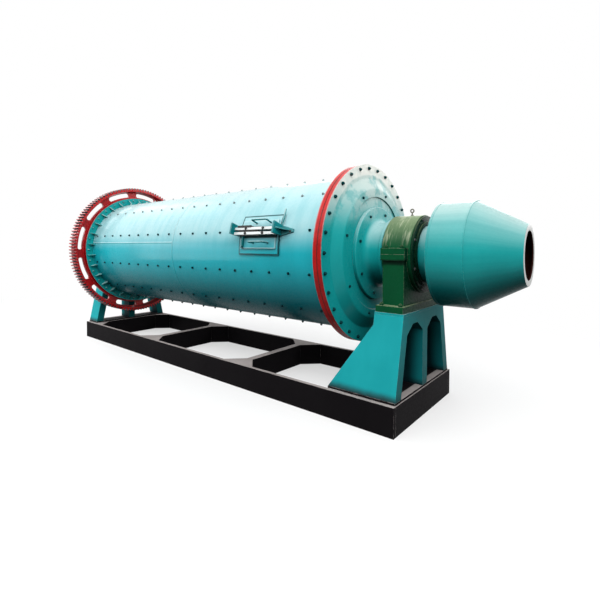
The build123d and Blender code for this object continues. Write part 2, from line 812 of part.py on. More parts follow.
def bearing_pieces(mid_x, outward):
    """The lower half, cap, end ring and lifting eye of one main bearing."""
    sole_top_z = stand_top_z + bearing_sole_thickness
    barrel_radius = journal_radius + bearing_wall
    body_half_width = barrel_radius + bearing_body_overhang
    lug_half_width = body_half_width + split_lug_overhang
    bore = across(mid_x)
    with BuildPart() as lower:
        with BuildSketch(Plane.XY.offset(stand_top_z)):
            with Locations((mid_x, 0)):
                Rectangle(bearing_sole_length, 2 * stand_top_half_width)
        extrude(amount=bearing_sole_thickness)
        with BuildSketch(Plane.XY.offset(sole_top_z)):
            with Locations((mid_x, 0)):
                Rectangle(bearing_body_length, 2 * body_half_width)
        extrude(amount=axis_height - sole_top_z)
        with BuildSketch(Plane.XY.offset(axis_height - split_lug_height)):
            with Locations((mid_x, 0)):
                Rectangle(split_lug_length, 2 * lug_half_width)
        extrude(amount=split_lug_height)
        with BuildSketch(bore):
            with Locations((0, -barrel_radius / 2)):
                Rectangle(2 * barrel_radius, barrel_radius)
            Circle(barrel_radius, mode=Mode.INTERSECT)
        extrude(amount=bearing_length / 2, both=True)
        with BuildSketch(bore):
            Circle(bearing_bore_radius)
        extrude(amount=bearing_length / 2, both=True, mode=Mode.SUBTRACT)
        fillet(barrel_ends(lower), bearing_end_round)
    with BuildPart() as cap:
        with BuildSketch(Plane.XY.offset(axis_height)):
            with Locations((mid_x, 0)):
                Rectangle(split_lug_length, 2 * lug_half_width)
        extrude(amount=split_lug_height)
        with BuildSketch(bore):
            with Locations((0, barrel_radius / 2)):
                Rectangle(2 * barrel_radius, barrel_radius)
            Circle(barrel_radius, mode=Mode.INTERSECT)
        extrude(amount=bearing_length / 2, both=True)
        with BuildSketch(bore):
            Circle(bearing_bore_radius)
        extrude(amount=bearing_length / 2, both=True, mode=Mode.SUBTRACT)
        fillet(barrel_ends(cap), bearing_end_round)
    face_x = mid_x + outward * bearing_length / 2
    step_x = face_x + outward * end_ring_thickness
    lip_x = step_x + outward * end_ring_lip_thickness
    ring_bore = trunnion_end_radius + end_ring_gap
    ring_radius = barrel_radius - end_ring_inset
    ring = turned(
        (face_x, ring_bore),
        (face_x, ring_radius),
        (step_x, ring_radius),
        (step_x, ring_bore + end_ring_lip_width),
        (lip_x, ring_bore + end_ring_lip_width),
        (lip_x, ring_bore),
        rounded=(
            ((step_x, ring_radius), end_ring_round),
            ((lip_x, ring_bore + end_ring_lip_width), end_ring_round),
        ),
    )
    eye_z = axis_height + barrel_radius
    shank_top_z = eye_z + eyebolt_collar_height + eyebolt_shank_height
    ring_z = shank_top_z + eyebolt_ring_radius
    with BuildPart() as eye:
        with BuildSketch(Plane.XY.offset(eye_z)):
            with Locations((mid_x, 0)):
                Circle(eyebolt_collar_radius)
        extrude(amount=eyebolt_collar_height)
        with BuildSketch(Plane.XY.offset(eye_z)):
            with Locations((mid_x, 0)):
                Circle(eyebolt_wire_radius)
        extrude(amount=shank_top_z - eye_z)
        with BuildSketch(Plane.XY.offset(ring_z)):
            with Locations((mid_x + eyebolt_ring_radius, 0)):
                Circle(eyebolt_wire_radius)
        revolve(axis=Axis((mid_x, 0, ring_z), (0, 1, 0)))
    return lower, cap, ring, eye


for end, mid_x, outward, toe in (
    ("feed", feed_bearing_x, 1, stand_toe),
    ("gear", gear_bearing_x, -1, 0),
):
    stand_sole, stand_body, stand_top = stand_pieces(mid_x, outward, toe)
    keep(f"stand_sole_{end}", stand_sole)
    keep(f"stand_body_{end}", stand_body)
    keep(f"stand_top_{end}", stand_top)
    bearing_lower, bearing_cap, bearing_ring, bearing_eye = bearing_pieces(mid_x, outward)
    keep(f"bearing_lower_{end}", bearing_lower)
    keep(f"bearing_cap_{end}", bearing_cap)
    keep(f"bearing_ring_{end}", bearing_ring)
    keep(f"bearing_eye_{end}", bearing_eye)
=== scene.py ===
import json
import math
import random

import bmesh
import bpy
from mathutils import Matrix, Vector


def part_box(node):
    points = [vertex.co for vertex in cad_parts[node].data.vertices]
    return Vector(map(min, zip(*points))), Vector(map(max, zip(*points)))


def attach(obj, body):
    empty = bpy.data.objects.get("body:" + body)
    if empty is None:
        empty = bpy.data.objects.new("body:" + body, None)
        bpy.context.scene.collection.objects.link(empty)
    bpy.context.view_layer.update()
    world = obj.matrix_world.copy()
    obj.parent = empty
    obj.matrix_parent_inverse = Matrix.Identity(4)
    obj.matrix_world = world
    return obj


# Ball mill. Metres, +X along the mill axis to the feed end, +Z up.
# An angle around the mill starts on the near side (-Y) and rises towards the top.
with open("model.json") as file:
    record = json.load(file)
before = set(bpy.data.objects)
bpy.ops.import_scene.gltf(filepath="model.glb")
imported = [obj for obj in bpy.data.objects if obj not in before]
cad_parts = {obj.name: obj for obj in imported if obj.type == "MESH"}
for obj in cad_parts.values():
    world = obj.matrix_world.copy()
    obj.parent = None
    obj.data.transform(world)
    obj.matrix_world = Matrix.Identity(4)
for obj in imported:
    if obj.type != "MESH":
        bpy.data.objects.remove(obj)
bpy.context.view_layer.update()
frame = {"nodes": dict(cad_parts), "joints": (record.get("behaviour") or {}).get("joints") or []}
random.seed(7)

# Places taken from the frame
AXIS_Z = frame["joints"][0]["pos_m"][2]
SHELL_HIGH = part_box("shell")[1]
FEED_FLANGE_LOW, FEED_FLANGE_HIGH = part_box("shell_flange_feed")
GEAR_FLANGE_LOW, GEAR_FLANGE_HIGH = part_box("shell_flange_gear")
FEED_HEAD_LOW, FEED_HEAD_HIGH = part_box("head_feed")
GEAR_HEAD_LOW, GEAR_HEAD_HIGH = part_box("head_gear")
FEEDER_LOW, FEEDER_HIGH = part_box("feeder_drum")
CONE_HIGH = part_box("feeder_cone")[1]
MANHOLE_LOW, MANHOLE_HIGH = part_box("manhole_frame")
DOOR_LOW, DOOR_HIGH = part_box("manhole_door")
CLAMP_LUG_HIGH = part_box("clamp_lug_feed_side")[1]
BAR_LOW, BAR_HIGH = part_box("clamp_bar_upper")
LOWER_BAR_LOW, LOWER_BAR_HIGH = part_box("clamp_bar_lower")
LEVER_LOW, LEVER_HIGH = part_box("clamp_lever")
STAND_TOP_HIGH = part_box("stand_top_feed")[1]
SOLE_LOW, SOLE_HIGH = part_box("stand_sole_feed")
GEAR_SOLE_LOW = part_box("stand_sole_gear")[0]
SHELL_RADIUS = SHELL_HIGH.z - AXIS_Z
FEEDER_RADIUS = FEEDER_HIGH.z - AXIS_Z
RIM_RADIUS = FEED_FLANGE_HIGH.z - AXIS_Z
BASE_MID_X = (SOLE_HIGH.x + GEAR_SOLE_LOW.x) / 2
BASE_REACH = SOLE_HIGH.x - BASE_MID_X
STAND_TOP_Z = STAND_TOP_HIGH.z
STAND_TOP_HALF = STAND_TOP_HIGH.y
STAND_SLOPE = (SOLE_HIGH.y - STAND_TOP_HALF) / (STAND_TOP_Z - SOLE_LOW.z)

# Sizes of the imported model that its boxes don't give
STAND_LEG = 0.110
SPLIT_LUG_HEIGHT = 0.055
BEARING_SOLE_THICKNESS = 0.058
END_RING_THICKNESS = 0.016
HEAD_FLANGE = 0.045
TRUNNION_DISC_X = 1.998
FRAME_ANGLES = (-1.5, 28.5)
DOOR_ANGLES = (3.06, 23.94)
DOOR_LIFT = 0.030
UNDER_BARS = (10.6, 19.2)
BAR_WIDTH = 0.028
BAR_HEIGHT = 0.034
BAR_STEP = 0.045
BAR_LIFT = 0.060
CLAMP_FOOT_THICKNESS = 0.014
LEVER_TURN = 19.6
LEVER_HALF = 0.085

# Sizes of what is added here. A circle of bolts is its radius, their number and the first angle.
LINER_ROWS = 12
LINER_ROW_ANGLE = 15.9
LINER_BOLTS = 18
LINER_PITCH = 0.25
LINER_START_X = -2.56
LINER_BOLT = 0.0125
MANHOLE_CLEARANCE = 0.20
FLANGE_BOLT_RADIUS = 0.852
FLANGE_BOLTS = 30
FEED_FLANGE_CIRCLE = (FLANGE_BOLT_RADIUS, FLANGE_BOLTS, 0.8)
GEAR_FLANGE_CIRCLE = (FLANGE_BOLT_RADIUS, FLANGE_BOLTS, 0.1)
FLANGE_BOLT = 0.0155
GEAR_FRONT_BOLT = 0.014
HEAD_CIRCLE = (0.607, 8, 16)
HEAD_BOLT = 0.0125
TRUNNION_CIRCLE = (0.402, 8, 17)
TRUNNION_BOLT = 0.013
BEARING_NUT = 0.019
LUG_NUT_X = 0.075
LUG_NUT_Y = 0.392
SOLE_NUT_X = 0.088
SOLE_NUT_Y = 0.440
RING_BOLTS = 8
RING_BOLT_RADIUS = 0.329
RING_BOLT = 0.012
CLAMP_NUT = 0.0125
CLAMP_NUT_INSET = 0.012
FOOT_BOLT = 0.012
FOOT_BOLT_INSET = 0.035
FOOT_BOLT_ANGLE = 15.3
STRAP_INSET = 0.055
STRAP_ANGLE = 11.4
STRAP_LOW = (-0.005, -0.095, -0.006)
STRAP_HIGH = (0.005, 0.095, 0.028)
SEAM_X = -0.458
SEAM_ANGLE = 8.1
SEAM_WIDTH = 0.019
SEAM_RISE = 0.0035
SEAM_ROOT = 0.002
SEAM_STEPS = 6
FEEDER_SEAM_WIDTH = 0.012
FEEDER_SEAM_RISE = 0.003


# Frames in which small pieces are built, with local z pointing away from the surface
def basis(place, outward, along):
    """A matrix at a place, with z along outward and x as near as can be to along."""
    z_axis = Vector(outward).normalized()
    y_axis = z_axis.cross(Vector(along)).normalized()
    x_axis = y_axis.cross(z_axis)
    matrix = Matrix((x_axis, y_axis, z_axis)).transposed().to_4x4()
    matrix.translation = Vector(place)
    return matrix


def outward_at(angle):
    """Unit vector away from the mill axis at an angle in degrees."""
    return Vector((0, -math.cos(math.radians(angle)), math.sin(math.radians(angle))))


def angle_of(place):
    """Angle around the mill of a place, in degrees."""
    return math.degrees(math.atan2(place.z - AXIS_Z, -place.y))


def on_round(x, radius, angle):
    """Frame on a round surface about the mill axis."""
    outward = outward_at(angle)
    place = Vector((x, 0, AXIS_Z)) + outward * radius
    return basis(place, outward, (1, 0, 0))


def on_face(x, radius, angle, side):
    """Frame on a flat face across the mill, which faces +X or -X."""
    outward = outward_at(angle)
    place = Vector((x, 0, AXIS_Z)) + outward * radius
    return basis(place, (side, 0, 0), outward)


def on_top(x, y, z):
    """Frame on a level face."""
    return basis((x, y, z), (0, 0, 1), (1, 0, 0))


# Mesh helpers
def lathe(mesh, matrix, profile, segments, turn=0.0):
    """Add a closed piece turned about local z, from (radius, height) points, bottom first."""
    rings = []
    for radius, height in profile:
        ring = []
        for step in range(segments):
            angle = turn + 2 * math.pi * step / segments
            point = Vector((radius * math.cos(angle), radius * math.sin(angle), height))
            ring.append(mesh.verts.new(matrix @ point))
        rings.append(ring)
    for lower, upper in zip(rings, rings[1:]):
        for step in range(segments):
            following = (step + 1) % segments
            mesh.faces.new((lower[step], lower[following], upper[following], upper[step]))
    mesh.faces.new(list(reversed(rings[0])))
    mesh.faces.new(rings[-1])


def ring_piece(mesh, matrix, profile, segments):
    """Add a ring turned about local z, whose closed section is (radius, height) points."""
    rings = []
    for step in range(segments):
        angle = 2 * math.pi * step / segments
        ring = []
        for radius, height in profile:
            point = Vector((radius * math.cos(angle), radius * math.sin(angle), height))
            ring.append(mesh.verts.new(matrix @ point))
        rings.append(ring)
    count = len(profile)
    for step in range(segments):
        here = rings[step]
        after = rings[(step + 1) % segments]
        for index in range(count):
            following = (index + 1) % count
            mesh.faces.new((here[index], after[index], after[following], here[following]))


def block(mesh, matrix, low, high):
    """Add a box between two corners of a local frame."""
    verts = []
    for x in (low[0], high[0]):
        for y in (low[1], high[1]):
            for z in (low[2], high[2]):
                verts.append(mesh.verts.new(matrix @ Vector((x, y, z))))
    sides = (
        (0, 1, 3, 2),
        (4, 6, 7, 5),
        (0, 4, 5, 1),
        (2, 3, 7, 6),
        (0, 2, 6, 4),
        (1, 5, 7, 3),
    )
    for side in sides:
        mesh.faces.new([verts[index] for index in side])


def bolt(mesh, matrix, size, turn=0.0, stud=1.0):
    """Add a washer, a chamfered hex nut and the rounded end of its stud, for a thread size."""
    washer = size * 0.16
    nut = washer + size * 0.85
    across = size * 1.02
    lathe(mesh, matrix, [(size * 1.12, 0), (size * 1.12, washer)], 20)
    hexagon = [(across, washer), (across, nut - size * 0.12), (across * 0.87, nut)]
    lathe(mesh, matrix, hexagon, 6, turn)
    if stud:
        end = nut + size * 0.35 * stud
        rounded_end = [(size * 0.5, nut), (size * 0.5, end), (size * 0.38, end + size * 0.1)]
        lathe(mesh, matrix, rounded_end, 12)


def piece(name, mesh, material, body, smooth_angle=35):
    """Turn a finished bmesh into a named object that rides on a body."""
    bmesh.ops.recalc_face_normals(mesh, faces=mesh.faces)
    data = bpy.data.meshes.new(name)
    mesh.to_mesh(data)
    mesh.free()
    made = bpy.data.objects.new(name, data)
    bpy.context.scene.collection.objects.link(made)
    data.materials.append(material)
    for face in data.polygons:
        face.use_smooth = True
    data.set_sharp_from_angle(angle=math.radians(smooth_angle))
    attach(made, body)


# Node helpers
class Shader:
    """A material under construction, with short calls for the nodes it is made of."""

    def __init__(self, name):
        self.material = bpy.data.materials.new(name)
        self.material.use_nodes = True
        self.tree = self.material.node_tree
        self.tree.nodes.clear()
        self.output = self.node("ShaderNodeOutputMaterial")
        self.surface = self.node("ShaderNodeBsdfPrincipled")
        self.link(self.surface.outputs["BSDF"], self.output.inputs["Surface"])
        coordinates = self.node("ShaderNodeTexCoord")
        self.point = coordinates.outputs["Object"]
        self.facing = coordinates.outputs["Normal"]
        self.normal = self.node("ShaderNodeNewGeometry").outputs["Normal"]

    def node(self, kind, **settings):
        made = self.tree.nodes.new(kind)
        for key, value in settings.items():
            setattr(made, key, value)
        return made

    def link(self, source, target):
        self.tree.links.new(source, target)

    def feed(self, socket, value):
        """Plug a socket, number or colour into an input."""
        if isinstance(value, bpy.types.NodeSocket):
            self.link(value, socket)
        elif isinstance(value, tuple) and len(value) == 3 and socket.type == "RGBA":
            socket.default_value = (*value, 1)
        else:
            socket.default_value = value

    def set(self, **values):
        """Set inputs of the shader by name, with _ for a space."""
        for name, value in values.items():
            self.feed(self.surface.inputs[name.replace("_", " ")], value)

    def math(self, operation, *values):
        made = self.node("ShaderNodeMath", operation=operation)
        for socket, value in zip(made.inputs, values):
            self.feed(socket, value)
        return made.outputs[0]

    def times(self, product, *others):
        """The product of two or more numbers."""
        for other in others:
            product = self.math("MULTIPLY", product, other)
        return product

    def apart(self, first, second):
        """How far two numbers are from each other."""
        return self.math("ABSOLUTE", self.math("SUBTRACT", first, second))

    def vector(self, operation, *values):
        made = self.node("ShaderNodeVectorMath", operation=operation)
        for socket, value in zip(made.inputs, values):
            self.feed(socket, value)
        number = operation in ("DOT_PRODUCT", "LENGTH")
        return made.outputs["Value" if number else "Vector"]

    def part(self, vector, axis):
        """One coordinate of a vector, 0 for X, 1 for Y and 2 for Z."""
        made = self.node("ShaderNodeSeparateXYZ")
        self.link(vector, made.inputs[0])
        return made.outputs[axis]

    def noise(self, scale, detail=3.0, roughness=0.55, stretch=(1, 1, 1), place=None):
        made = self.node("ShaderNodeTexNoise")
        self.feed(made.inputs["Vector"], self.vector("MULTIPLY", place or self.point, stretch))
        made.inputs["Scale"].default_value = scale
        made.inputs["Detail"].default_value = detail
        made.inputs["Roughness"].default_value = roughness
        return made.outputs["Fac"]

    def ramp(self, value, low, high, start=0.0, end=1.0):
        """A number that goes smoothly from start to end as value goes from low to high."""
        made = self.node("ShaderNodeMapRange", interpolation_type="SMOOTHSTEP")
        for socket, number in zip(made.inputs, (value, low, high, start, end)):
            self.feed(socket, number)
        return made.outputs[0]

    def band(self, value, low, high, soft):
        """1 between two values and 0 outside them, with soft borders."""
        rise = self.ramp(value, low - soft, low + soft)
        fall = self.ramp(value, high - soft, high + soft, 1.0, 0.0)
        return self.times(rise, fall)

    def reaches(self, value, limit):
        """1 where a length comes within a millimetre of a limit, and 0 three short of it."""
        return self.ramp(value, limit - 0.003, limit - 0.001)

    def mix(self, factor, first, second):
        made = self.node("ShaderNodeMix", data_type="RGBA")
        self.feed(made.inputs[0], factor)
        self.feed(made.inputs[6], first)
        self.feed(made.inputs[7], second)
        return made.outputs[2]

    def edges(self, radius):
        """How sharp the edge nearby is, from 0 to 1, and the normal rounded over it."""
        bevel = self.node("ShaderNodeBevel", samples=6)
        bevel.inputs["Radius"].default_value = radius
        sameness = self.vector("DOT_PRODUCT", bevel.outputs["Normal"], self.normal)
        return self.ramp(sameness, 0.985, 0.87), bevel.outputs["Normal"]

    def bump(self, height, strength, distance, normal):
        made = self.node("ShaderNodeBump")
        made.inputs["Strength"].default_value = strength
        made.inputs["Distance"].default_value = distance
        self.feed(made.inputs["Height"], height)
        self.link(normal, made.inputs["Normal"])
        return made.outputs["Normal"]

    def from_axis(self):
        """The vector from the mill axis to the point, across the axis."""
        moved = self.vector("SUBTRACT", self.point, (0, 0, AXIS_Z))
        return self.vector("MULTIPLY", moved, (0, 1, 1))

    def distance(self):
        """The distance from the mill axis."""
        return self.vector("LENGTH", self.from_axis())

    def radial(self):
        """The unit vector away from the mill axis."""
        return self.vector("NORMALIZE", self.from_axis())

    def rolled_out(self):
        """The point with the mill unrolled: place along the axis, turn about it and distance."""
        away = self.from_axis()
        joined = self.node("ShaderNodeCombineXYZ")
        turn = self.math("ARCTAN2", self.part(away, 1), self.part(away, 2))
        self.link(self.part(self.point, 0), joined.inputs[0])
        self.link(turn, joined.inputs[1])
        self.link(self.vector("LENGTH", away), joined.inputs[2])
        return joined.outputs[0]

    def on_ends(self, most=1.0):
        """A mask, up to most, of the faces that look along the mill."""
        along = self.math("ABSOLUTE", self.part(self.facing, 0))
        return self.ramp(along, 0.6, 0.9, 0.0, most)


def darker(colour, share):
    """A colour cut down to a share of itself."""
    return tuple(part * share for part in colour)


# Finishes, in the order below: the share of the pale dusty layer, partly a painted highlight,
# that lies on a painted rim, the coat above which an underside is duller, and the share of the
# deep colour in the painted shade on an underside.
RIM_DUSTY_SHEEN = 0.1
DULL_COAT = 0.1
UNDERSIDE_SHADE = 0.2

# Where a mark starts and where it is full: the grease from just below the tooth roots, the
# pale dusty layer, partly a painted highlight, that closes up on the outer ring of a head, and
# the painted shadow out under the split lugs
GREASE_RADII = (1.026, 1.034)
DUSTY_SHEEN_RING = (0.775, 0.80)
LUG_SHADOW_SIDE = (0.36, 0.38)
OUTER_STRIP = 0.060


def enamel(
    name,
    colour,
    deep,
    dusty_sheen=(0.72, 0.79, 0.79),
    dusty_sheen_amount=0.6,
    dusty_sheen_facing=(0.04, 0.45),
    keep_dusty_sheen=None,
    grey_dusty_sheen=(0.74, 0.75, 0.72),
    grey_dusty_sheen_amount=0.0,
    worn=(0.50, 0.58, 0.57),
    worn_amount=0.5,
    worn_width=0.004,
    roughness=0.22,
    specular=0.02,
    coat=0.3,
    coat_ior=1.4,
    coat_roughness=0.15,
    stretch=(7.0, 0.9, 0.0),
    round_mill=True,
    rim=None,
    inside=None,
    lip=None,
    foot=None,
    marks=None,
):
    """Sprayed enamel: uneven colour, runs, a pale dusty layer on top that is partly a painted
    highlight, painted shade on what faces down, and paint worn off the edges.

    The pale layer starts and is full at two facings, how far a face is turned upward, and a
    keep mask may say where it lies. A second, greyer dusty layer on what looks up is partly a
    painted highlight too. stretch draws the runs out, in the unrolled mill or, with round_mill
    off, in the plain point. rim is (radius, colour) of the painted outer edge of a round
    flange, inside the colour of faces that look towards the mill axis, lip (x, colour) of a
    bare ring at the mouth, and foot (low, high, colour) of a darkening that rises from the
    foot. marks adds to the colour what only this finish has. A coat above DULL_COAT dulls on
    the underside."""
    s = Shader(name)
    facing_up = s.part(s.facing, 2)
    patches = s.ramp(s.noise(1.3, 4.0, 0.6), 0.3, 0.7)
    place = s.rolled_out() if round_mill else s.point
    runs = s.ramp(s.noise(1.0, 5.0, 0.6, stretch, place), 0.35, 0.7)
    mottle = s.noise(45.0, 3.0, 0.6)
    base = s.mix(s.times(patches, 0.45), colour, deep)
    base = s.mix(s.times(runs, 0.28), base, deep)
    # Painted shade: what faces down is darker.
    underside = s.ramp(facing_up, -0.1, -0.85, 0.0, 0.8)
    base = s.mix(underside, base, darker(deep, UNDERSIDE_SHADE))
    # A pale dusty layer on what faces up, partly a painted highlight.
    dusty_sheen_mask = s.ramp(facing_up, *dusty_sheen_facing)
    dusty_sheen_mask = s.times(dusty_sheen_mask, s.ramp(mottle, 0.2, 0.75, 0.93, 1.0))
    dusty_sheen_mask = s.times(dusty_sheen_mask, s.ramp(runs, 0.0, 1.0, 1.0, 0.82))
    if rim is not None:
        radius, rim_colour = rim
        turned_out = s.vector("DOT_PRODUCT", s.radial(), s.facing)
        on_rim = s.times(s.reaches(s.distance(), radius), s.ramp(turned_out, 0.5, 0.8))
        spots = s.ramp(s.noise(5.0, 4.0), 0.4, 0.7)
        base = s.mix(on_rim, base, s.mix(spots, rim_colour, darker(rim_colour, 0.6)))
        dusty_sheen_mask = s.times(dusty_sheen_mask, s.ramp(on_rim, 0.0, 1.0, 1.0, RIM_DUSTY_SHEEN))
    if keep_dusty_sheen is not None:
        dusty_sheen_mask = s.times(dusty_sheen_mask, keep_dusty_sheen(s))
    base = s.mix(s.times(dusty_sheen_mask, dusty_sheen_amount), base, dusty_sheen)
    # A second, greyer dusty layer on what faces most up, partly a painted highlight.
    if grey_dusty_sheen_amount:
        base = s.mix(s.ramp(facing_up, 0.5, 0.97, 0.0, grey_dusty_sheen_amount), base, grey_dusty_sheen)
    edge, rounded = s.edges(worn_width)
    chipped = s.times(edge, s.ramp(s.noise(28.0, 4.0, 0.7), 0.38, 0.6))
    base = s.mix(s.times(chipped, worn_amount), base, worn)
    if foot is not None:
        # Darker towards the foot.
        low, high, foot_darkening = foot
        height = s.math("ADD", s.part(s.point, 2), s.times(s.noise(9.0, 4.0), 0.03))
        base = s.mix(s.ramp(height, low + 0.015, high + 0.015, 0.85, 0.0), base, foot_darkening)
    if marks is not None:
        base = marks(s, base)
    if inside is not None:
        turned_out = s.vector("DOT_PRODUCT", s.radial(), s.facing)
        base = s.mix(s.ramp(turned_out, -0.2, -0.5), base, inside)
    if lip is not None:
        lip_x, lip_colour = lip
        at_mouth = s.reaches(s.part(s.point, 0), lip_x)
        on_lip = s.times(at_mouth, s.ramp(s.part(s.facing, 0), 0.6, 0.9))
        uneven = s.mix(s.ramp(mottle, 0.3, 0.7), lip_colour, darker(lip_colour, 0.75))
        base = s.mix(on_lip, base, uneven)
    coat_weight = coat
    if coat > DULL_COAT:
        coat_weight = s.times(s.ramp(facing_up, -0.25, -0.7, 1.0, 0.15), coat)
    peel = s.math("ADD", s.noise(160.0, 2.0, 0.5), s.times(s.noise(6.0, 3.0), 2.0))
    s.set(
        Base_Color=base,
        Roughness=s.ramp(mottle, 0.25, 0.8, roughness, roughness + 0.14),
        Specular_IOR_Level=specular,
        Coat_Weight=coat_weight,
        Coat_Roughness=coat_roughness,
        Coat_IOR=coat_ior,
        Normal=s.bump(peel, 0.045, 0.002, rounded),
    )
    return s.material


def worn_steel(name, colour, roughness):
    """Bare or greasy steel with brushed wear."""
    s = Shader(name)
    grain = s.noise(60.0, 4.0, 0.6, (0.3, 1, 1))
    shade = s.mix(s.ramp(grain, 0.3, 0.75), colour, darker(colour, 0.45))
    edge, rounded = s.edges(0.002)
    shade = s.mix(s.times(edge, 0.5), shade, STEEL_WORN)
    s.set(
        Base_Color=shade,
        Metallic=0.75,
        Roughness=s.ramp(grain, 0.2, 0.8, roughness, roughness + 0.25),
        Normal=s.bump(grain, 0.15, 0.001, rounded),
    )
    return s.material


def gear_paint(name, red, grease):
    """Red enamel on the web and the tooth ends, dark grease on the tooth flanks, a painted
    highlight on what faces up and painted shade on what faces the axis.
    """
    s = Shader(name)
    radial = s.radial()
    around = s.vector("CROSS_PRODUCT", (1, 0, 0), radial)
    sideways = s.math("ABSOLUTE", s.vector("DOT_PRODUCT", around, s.facing))
    on_tooth = s.ramp(s.distance(), *GREASE_RADII)
    flank = s.times(s.ramp(sideways, 0.35, 0.6), on_tooth)
    patches = s.ramp(s.noise(3.0, 4.0, 0.6), 0.3, 0.7)
    base = s.mix(s.times(patches, 0.5), red, darker(red, 0.55))
    # Painted highlight on what faces up.
    upward = s.ramp(s.part(s.facing, 2), 0.3, 0.95)
    base = s.mix(s.times(upward, 0.3), base, RED_SHEEN)
    # Painted shade on what faces the axis.
    inward = s.ramp(s.vector("DOT_PRODUCT", radial, s.facing), -0.5, -0.8)
    base = s.mix(s.times(inward, 0.7), base, RED_SHADE)
    base = s.mix(flank, base, grease)
    edge, rounded = s.edges(0.003)
    base = s.mix(s.times(edge, 0.25), base, RED_WORN)
    s.set(
        Base_Color=base,
        Roughness=s.math("ADD", 0.3, s.times(flank, 0.2)),
        Specular_IOR_Level=0.1,
        Coat_Weight=0.25,
        Coat_Roughness=0.12,
        Normal=s.bump(s.noise(40.0, 3.0), 0.08, 0.002, rounded),
    )
    return s.material


# Colours
TEAL = (0.010, 0.440, 0.520)
TEAL_DEEP = (0.006, 0.330, 0.395)
FLANGE_TEAL = (0.010, 0.390, 0.395)
FLANGE_TEAL_DEEP = (0.006, 0.275, 0.280)
RED = (0.50, 0.008, 0.008)
BASE_BLACK = (0.009, 0.008, 0.009)
BASE_DEEP = (0.005, 0.004, 0.005)
BARE_INSIDE = (0.040, 0.012, 0.010)
SHADOW_LINE = (0.004, 0.060, 0.068)
HIGHLIGHT_LINE = (0.42, 0.62, 0.63)
# A pale dusty green, partly a painted highlight
GREEN_DUSTY_SHEEN = (0.40, 0.46, 0.27)
STEEL_WORN = (0.5, 0.48, 0.46)
RED_SHEEN = (0.75, 0.32, 0.30)
RED_SHADE = (0.09, 0.01, 0.012)
RED_WORN = (0.80, 0.36, 0.34)
UNDER_BARS_SHADOW = (0.004, 0.014, 0.016)
HEAD_DUSTY_SHEEN = (0.88, 0.88, 0.82)
RIM_EDGE_HIGHLIGHT = (0.80, 0.62, 0.58)
JOINT_DARK = (0.05, 0.004, 0.004)
STAND_SHADE = (0.005, 0.085, 0.090)
ARCH_SHADE = (0.002, 0.010, 0.014)
NUT_DUSTY_SHEEN = (0.62, 0.70, 0.70)
BEARING_SHADE = (0.003, 0.042, 0.020)
BEARING_DRIP = (0.50, 0.54, 0.38)
LUG_SHADOW = (0.003, 0.016, 0.010)


# Marks that only one finish has
def border_line(low, high, angles, width):
    """A mask along the border of a plate that is bent to the shell."""
    mid_x = (low.x + high.x) / 2
    half_x = (high.x - low.x) / 2
    turns = [math.radians(angle - 90) for angle in angles]
    mid_turn = sum(turns) / 2
    half_turn = (turns[1] - turns[0]) / 2

    def mask(s):
        place = s.rolled_out()
        beside = s.math("SUBTRACT", s.apart(s.part(place, 0), mid_x), half_x)
        turn = s.math("SUBTRACT", s.apart(s.part(place, 1), mid_turn), half_turn)
        outermost = s.math("MAXIMUM", beside, s.times(turn, SHELL_RADIUS))
        return s.ramp(outermost, -width * 1.3, -width * 0.7)

    return mask


def frame_marks(s, base):
    """A painted shadow line along the edge of the manhole frame."""
    line = border_line(MANHOLE_LOW, MANHOLE_HIGH, FRAME_ANGLES, 0.014)(s)
    return s.mix(s.times(line, 0.93), base, SHADOW_LINE)


def door_marks(s, base):
    """A painted highlight along the door's edge, and painted shadow on the door under its bars
    and painted shade on its rib.
    """
    place = s.rolled_out()
    # Painted highlight along the door's edge.
    line = border_line(DOOR_LOW, DOOR_HIGH, DOOR_ANGLES, 0.011)(s)
    base = s.mix(s.times(line, 0.6), base, HIGHLIGHT_LINE)
    # Painted shadow on the door under the bars.
    low_turn, high_turn = (math.radians(angle - 90) for angle in UNDER_BARS)
    under = s.band(s.part(place, 1), low_turn, high_turn, 0.008)
    base = s.mix(s.times(under, 0.93), base, UNDER_BARS_SHADOW)
    # Painted shade on the rib that stands on the door.
    door_face = SHELL_RADIUS + DOOR_LIFT
    rib = s.ramp(s.part(place, 2), door_face + 0.003, door_face + 0.006)
    return s.mix(s.times(rib, 0.9), base, SHADOW_LINE)


